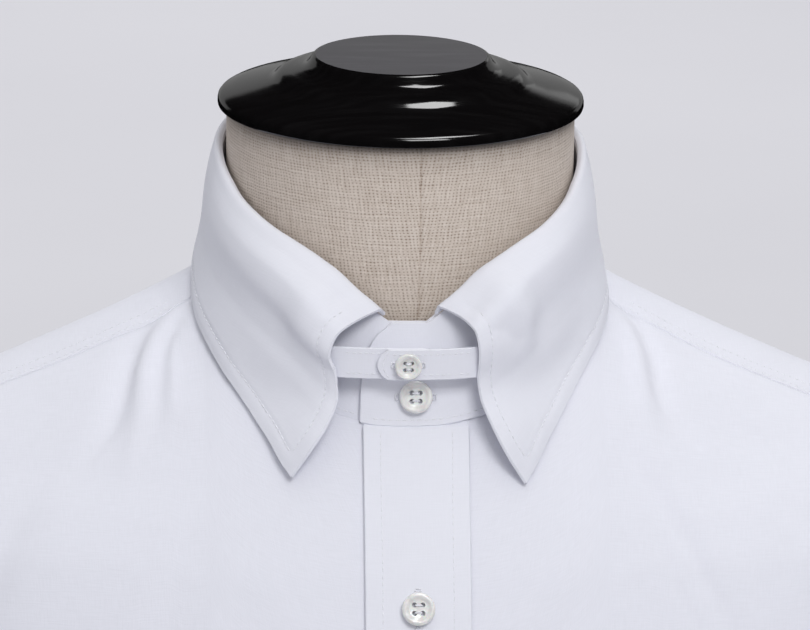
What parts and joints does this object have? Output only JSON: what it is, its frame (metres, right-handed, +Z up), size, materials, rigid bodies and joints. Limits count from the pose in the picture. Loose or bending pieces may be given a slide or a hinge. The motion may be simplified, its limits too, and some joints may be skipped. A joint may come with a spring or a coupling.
{
  "type": "button tab collar dress shirt on a dress form",
  "caption": "White long-sleeved dress shirt whose collar points are held by a buttoned tab, worn by a limbless linen dress form with a turned neck cap on a pole and round base.",
  "frame": {"origin": "centre of the round base's flat underside, on the surface it stands on", "axes": "+Z up along the pole, -Y out of the shirt's front, +X to the wearer's left"},
  "size_m": [0.539, 0.3, 0.9555],
  "materials": {
    "shirt_cotton": "fine plain white cotton poplin with a faint cool cast",
    "collar_cotton": "white cotton poplin over interlining, smooth, topstitched near the edges",
    "button_plastic": "white pearled shirt button with four holes and a raised rim",
    "form_linen": "coarse undyed linen in a basket weave, stretched smooth",
    "black_lacquer": "turned wood under black gloss lacquer, top disc satin",
    "stand_metal": "black painted steel, satin"
  },
  "bodies": {
    "root": {"front_right": "shirt_cotton", "front_left": "shirt_cotton", "back": "shirt_cotton", "yoke": "shirt_cotton", "placket": "shirt_cotton", "sleeve_left": "shirt_cotton", "sleeve_right": "shirt_cotton", "collar_stand": "collar_cotton", "collar_leaf": "collar_cotton", "tab_left": "collar_cotton", "tab_right": "collar_cotton", "cuff_left": "collar_cotton", "cuff_right": "collar_cotton", "front_button_1": "button_plastic", "front_button_2": "button_plastic", "front_button_3": "button_plastic", "front_button_4": "button_plastic", "front_button_5": "button_plastic", "front_button_6": "button_plastic", "front_button_7": "button_plastic", "collar_button": "button_plastic", "tab_button": "button_plastic", "cuff_button_left": "button_plastic", "cuff_button_right": "button_plastic", "form_body": "form_linen", "neck_cap": "black_lacquer", "stand_pole": "stand_metal", "stand_base": "black_lacquer"}
  },
  "joints": []
}
